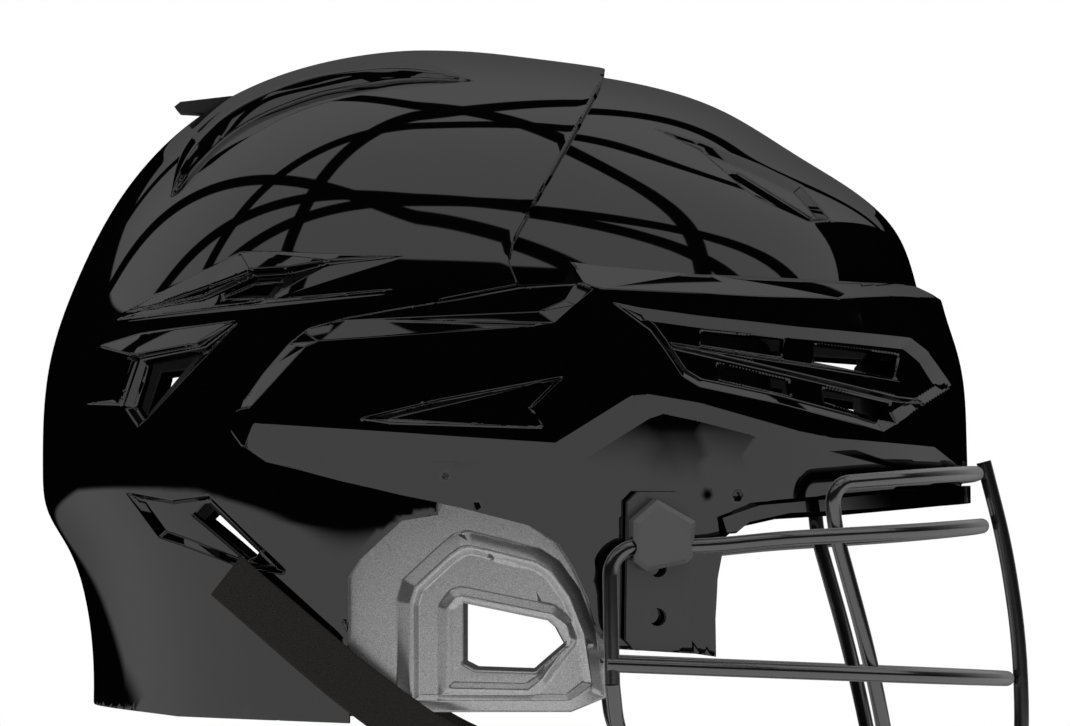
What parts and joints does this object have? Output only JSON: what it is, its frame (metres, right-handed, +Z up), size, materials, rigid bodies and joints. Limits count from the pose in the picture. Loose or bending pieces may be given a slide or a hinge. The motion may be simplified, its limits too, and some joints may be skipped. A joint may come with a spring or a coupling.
{
  "type": "lacrosse helmet",
  "caption": "Two-piece hard-shell sport helmet with vents, grey ear guards, wire face mask, foam liner, release lever and chin strap.",
  "frame": {"origin": "middle of the head cavity, level with the front shell's brow edge", "axes": "+X towards the face, +Y to the wearer's left, +Z up"},
  "size_m": [0.3033, 0.2258, 0.2741],
  "materials": {
    "shell": "high gloss moulded shell",
    "ear_guard": "satin grey with fine speckle",
    "liner": "closed-cell foam",
    "pad": "brushed fabric over foam",
    "steel": "plated steel",
    "mask_wire": "satin black coated steel wire",
    "clip_cover": "matte moulded plastic",
    "clip_plate": "satin moulded plastic",
    "sleeve": "soft rubber",
    "webbing": "plain woven webbing",
    "trim_plastic": "satin moulded plastic"
  },
  "bodies": {
    "rear_shell": {"rear_shell": "shell", "rear_liner": "liner", "nape_pad": "pad", "rear_crown_pad": "pad", "rear_side_pad_right": "pad", "rear_side_pad_left": "pad", "ear_guard_right": "ear_guard", "ear_guard_left": "ear_guard", "ear_guard_screws": "steel", "ear_guard_nuts": "steel", "strap_anchor_right": "steel", "strap_anchor_left": "steel", "lever_bracket": "trim_plastic", "lever_pin": "steel", "cradle_posts": "steel"},
    "front_shell": {"front_shell": "shell", "brow_lip": "shell", "front_liner": "liner", "forehead_pad": "pad", "front_crown_pad": "pad", "temple_pad_right": "pad", "temple_pad_left": "pad", "slide_studs": "steel", "slide_washers": "steel", "mask_clip_plate_right": "clip_plate", "mask_clip_plate_left": "clip_plate", "mask_clip_cover_right": "clip_cover", "mask_clip_cover_left": "clip_cover", "mask_clip_sleeve_right": "sleeve", "mask_clip_sleeve_left": "sleeve", "mask_clip_screws": "steel", "eye_wire": "mask_wire", "brow_wire": "mask_wire", "jaw_wire": "mask_wire", "cheek_wire": "mask_wire", "mouth_wire": "mask_wire", "chin_wire": "mask_wire", "centre_wire": "mask_wire"},
    "release_lever": {"release_lever": "trim_plastic"},
    "nape_cradle": {"nape_cradle": "trim_plastic", "nape_cradle_pad": "pad"},
    "chin_strap": {"chin_strap_right": "webbing", "chin_strap_left": "webbing", "strap_slider_right": "trim_plastic", "strap_slider_left": "trim_plastic", "strap_socket_right": "trim_plastic", "strap_socket_left": "trim_plastic", "chin_cup": "trim_plastic", "chin_cup_pad": "pad"}
  },
  "joints": [
    {"name": "size_slide", "type": "slide", "parent": "rear_shell", "child": "front_shell", "axis": [-1, 0, 0], "range_m": [0, 0.01]},
    {"name": "lever_hinge", "type": "hinge", "parent": "rear_shell", "child": "release_lever", "pos_m": [-0.076, 0, 0.114], "axis": [0, 1, 0], "range_deg": [0, 35]},
    {"name": "cradle_slide", "type": "slide", "parent": "rear_shell", "child": "nape_cradle", "axis": [1, 0, 0], "range_m": [0, 0.006]},
    {"name": "strap_swing", "type": "hinge", "parent": "rear_shell", "child": "chin_strap", "pos_m": [-0.0785, 0, -0.0333], "axis": [0, 1, 0], "range_deg": [-5, 0]}
  ]
}
